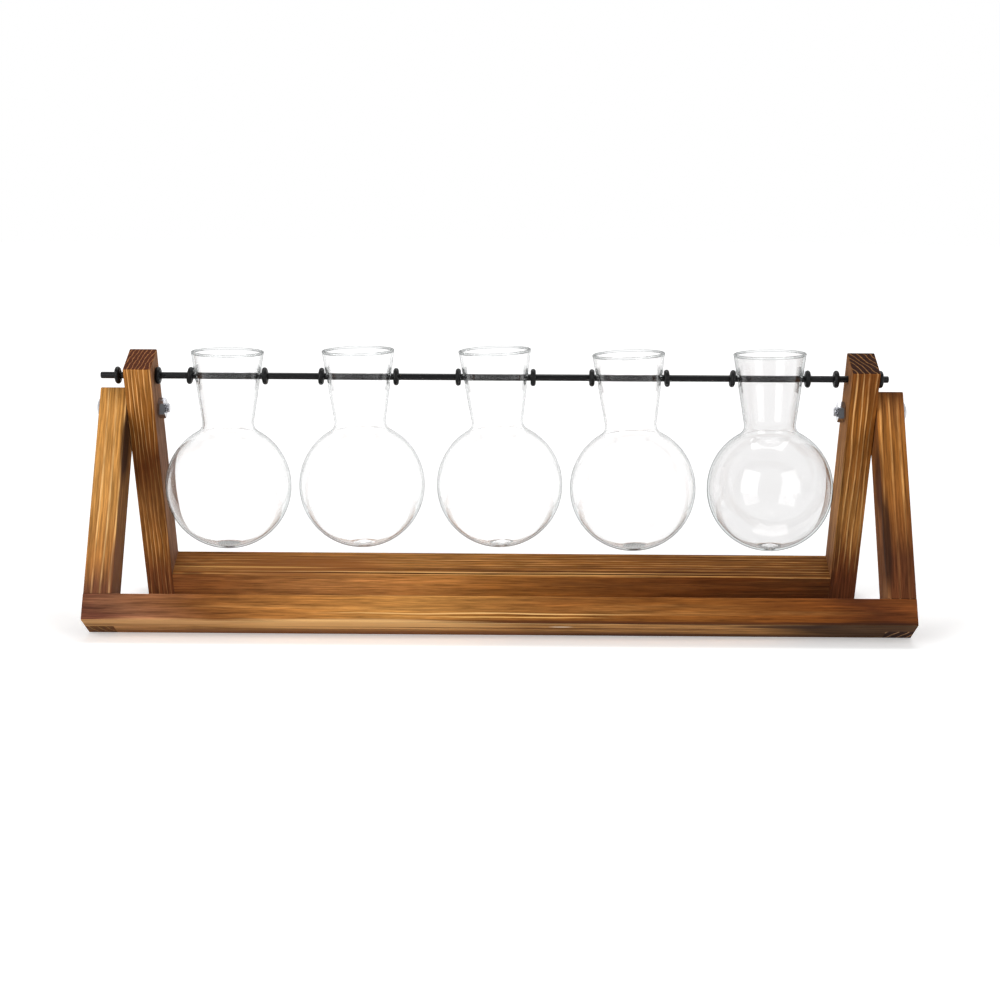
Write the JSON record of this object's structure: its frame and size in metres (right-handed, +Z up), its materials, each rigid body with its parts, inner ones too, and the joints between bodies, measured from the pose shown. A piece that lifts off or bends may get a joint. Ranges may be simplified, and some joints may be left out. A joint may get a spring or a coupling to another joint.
{
  "type": "propagation vase",
  "caption": "Folding wooden A-frame stand with a black rod through its rear posts; clear glass bulb vases hang on the rod by holes in their necks, between rubber rings.",
  "frame": {"origin": "on the table, under the centre of the stand's bounding box", "axes": "+X along the rod to the right as seen from the front, +Y to the back, +Z up"},
  "size_m": [0.4876, 0.1418, 0.1624],
  "materials": {
    "front_frame_wood": "carbonised and oiled pine",
    "rear_frame_wood": "carbonised and oiled pine",
    "vase_glass": "clear blown borosilicate glass",
    "rod_steel": "satin black coated steel",
    "ring_rubber": "black nitrile rubber",
    "bolt_steel": "bright zinc plated steel"
  },
  "bodies": {
    "rear_frame": {"left_post": "rear_frame_wood", "right_post": "rear_frame_wood", "rear_rail": "rear_frame_wood"},
    "front_frame": {"left_leg": "front_frame_wood", "right_leg": "front_frame_wood", "front_rail": "front_frame_wood", "left_bolt": "bolt_steel", "left_nut": "bolt_steel", "right_bolt": "bolt_steel", "right_nut": "bolt_steel"},
    "rod": {"rod": "rod_steel", "left_post_ring_outer": "ring_rubber", "left_post_ring_inner": "ring_rubber", "vase_1_ring_left": "ring_rubber", "vase_1_ring_right": "ring_rubber", "vase_2_ring_left": "ring_rubber", "vase_2_ring_right": "ring_rubber", "vase_3_ring_left": "ring_rubber", "vase_3_ring_right": "ring_rubber", "vase_4_ring_left": "ring_rubber", "vase_4_ring_right": "ring_rubber", "vase_5_ring_left": "ring_rubber", "vase_5_ring_right": "ring_rubber", "right_post_ring_inner": "ring_rubber", "right_post_ring_outer": "ring_rubber"},
    "vase_1_body": {"vase_1": "vase_glass"},
    "vase_2_body": {"vase_2": "vase_glass"},
    "vase_3_body": {"vase_3": "vase_glass"},
    "vase_4_body": {"vase_4": "vase_glass"},
    "vase_5_body": {"vase_5": "vase_glass"}
  },
  "joints": [
    {"name": "stand_fold", "type": "hinge", "parent": "rear_frame", "child": "front_frame", "pos_m": [0, 0.01078, 0.12416], "axis": [1, 0, 0], "range_deg": [-45, 40.5]},
    {"name": "rod_spin", "type": "hinge", "parent": "rear_frame", "child": "rod", "pos_m": [0, 0.00235, 0.14502], "axis": [1, 0, 0], "continuous": true},
    {"name": "vase_1_swing", "type": "hinge", "parent": "rear_frame", "child": "vase_1_body", "pos_m": [-0.16342, 0.00235, 0.14502], "axis": [1, 0, 0], "continuous": true},
    {"name": "vase_2_swing", "type": "hinge", "parent": "rear_frame", "child": "vase_2_body", "pos_m": [-0.08501, 0.00235, 0.14502], "axis": [1, 0, 0], "continuous": true},
    {"name": "vase_3_swing", "type": "hinge", "parent": "rear_frame", "child": "vase_3_body", "pos_m": [-0.00322, 0.00235, 0.14502], "axis": [1, 0, 0], "continuous": true},
    {"name": "vase_4_swing", "type": "hinge", "parent": "rear_frame", "child": "vase_4_body", "pos_m": [0.07648, 0.00235, 0.14502], "axis": [1, 0, 0], "continuous": true},
    {"name": "vase_5_swing", "type": "hinge", "parent": "rear_frame", "child": "vase_5_body", "pos_m": [0.1602, 0.00235, 0.14502], "axis": [1, 0, 0], "continuous": true}
  ]
}
